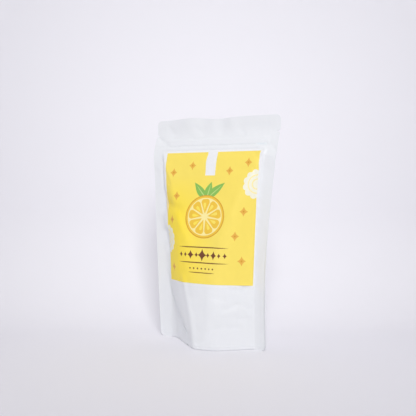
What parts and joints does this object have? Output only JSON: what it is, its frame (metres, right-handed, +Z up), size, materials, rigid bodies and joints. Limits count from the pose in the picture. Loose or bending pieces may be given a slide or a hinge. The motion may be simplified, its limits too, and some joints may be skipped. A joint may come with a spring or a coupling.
{
  "type": "stand-up pouch",
  "caption": "Filled, closed stand-up pouch of matte white film with side seals, tear notches, press zip, folded bottom gusset and a bright front label, holding dried fruit slices.",
  "frame": {"origin": "on the ground, under the middle of the pouch's outer size", "axes": "+Z up along the pouch's height, -Y out of the labelled front, +X to the label's right"},
  "size_m": [0.12, 0.0504, 0.1969],
  "materials": {
    "film": "soft matte white laminate film, fine wrinkles and heat-seal bands",
    "label": null,
    "zip": "smooth translucent white press-zip profile",
    "dried_fruit": "leathery dried fruit, amber with darker rims"
  },
  "bodies": {
    "root": {"front_panel": "film", "back_panel": "film", "bottom_gusset": "film", "label": "label", "zip_tongue_strip": "zip", "zip_groove_strip": "zip", "fruit_slice_01": "dried_fruit", "fruit_slice_02": "dried_fruit", "fruit_slice_03": "dried_fruit", "fruit_slice_04": "dried_fruit", "fruit_slice_05": "dried_fruit", "fruit_slice_06": "dried_fruit", "fruit_slice_07": "dried_fruit", "fruit_slice_08": "dried_fruit", "fruit_slice_09": "dried_fruit", "fruit_slice_10": "dried_fruit", "fruit_slice_11": "dried_fruit", "fruit_slice_12": "dried_fruit", "fruit_slice_13": "dried_fruit", "fruit_slice_14": "dried_fruit", "fruit_slice_15": "dried_fruit", "fruit_slice_16": "dried_fruit", "fruit_slice_17": "dried_fruit", "fruit_slice_18": "dried_fruit", "fruit_slice_19": "dried_fruit", "fruit_slice_20": "dried_fruit", "fruit_slice_21": "dried_fruit"}
  },
  "joints": []
}
